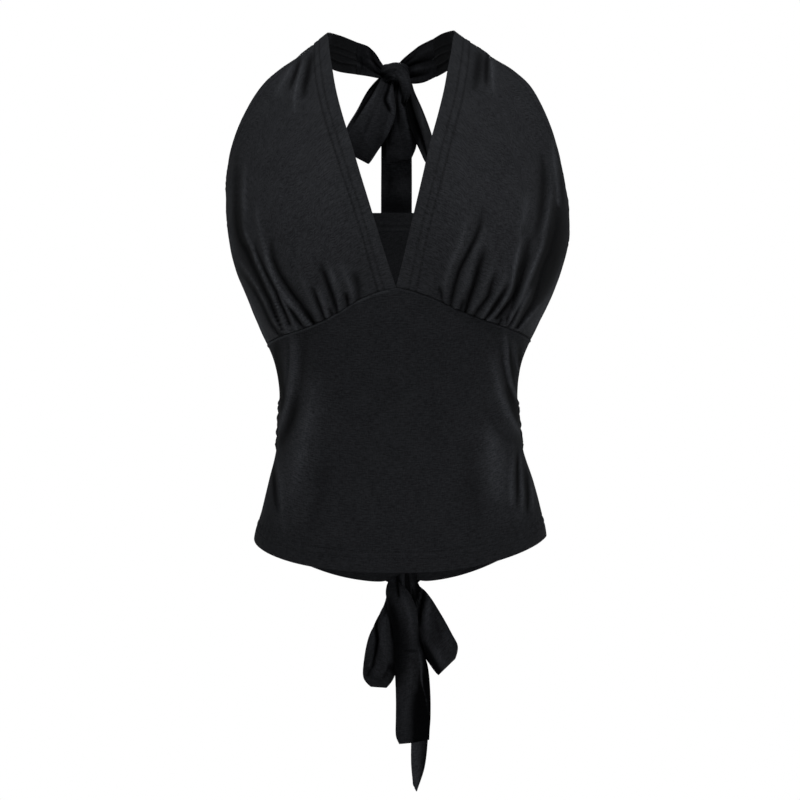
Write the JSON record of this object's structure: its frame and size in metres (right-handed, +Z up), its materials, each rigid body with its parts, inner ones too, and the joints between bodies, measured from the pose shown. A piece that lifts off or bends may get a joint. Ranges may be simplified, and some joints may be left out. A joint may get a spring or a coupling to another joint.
{
  "type": "halter neck top",
  "caption": "Halter neck top with gathered V-neck cups, a fitted midriff with a curved hem, a straight-topped back, and ties bowed behind the neck and below the back hem.",
  "frame": {"origin": "at the wearer's neck, midway between the shoulders, level with the folds where the straps pass over the shoulders", "axes": "+Z up, the front faces -Y, +X to the right of someone looking at the front"},
  "size_m": [0.3605, 0.2561, 0.8144],
  "materials": {
    "back_panel": "matte",
    "cup_left": "matte",
    "cup_right": "matte",
    "front_panel": "matte",
    "neck_knot": "matte",
    "neck_loop_left": "matte",
    "neck_loop_right": "matte",
    "neck_strap_left": "matte",
    "neck_strap_right": "matte",
    "neck_tail_long": "matte",
    "neck_tail_short": "matte",
    "waist_knot": "matte",
    "waist_loop_left": "matte",
    "waist_loop_right": "matte",
    "waist_tail_long": "matte",
    "waist_tail_short": "matte",
    "waist_tie_left": "matte",
    "waist_tie_right": "matte"
  },
  "bodies": {
    "root": {"back_panel": "back_panel", "cup_left": "cup_left", "cup_right": "cup_right", "front_panel": "front_panel", "neck_knot": "neck_knot", "neck_loop_left": "neck_loop_left", "neck_loop_right": "neck_loop_right", "neck_strap_left": "neck_strap_left", "neck_strap_right": "neck_strap_right", "neck_tail_long": "neck_tail_long", "neck_tail_short": "neck_tail_short", "waist_knot": "waist_knot", "waist_loop_left": "waist_loop_left", "waist_loop_right": "waist_loop_right", "waist_tail_long": "waist_tail_long", "waist_tail_short": "waist_tail_short", "waist_tie_left": "waist_tie_left", "waist_tie_right": "waist_tie_right"}
  },
  "joints": []
}
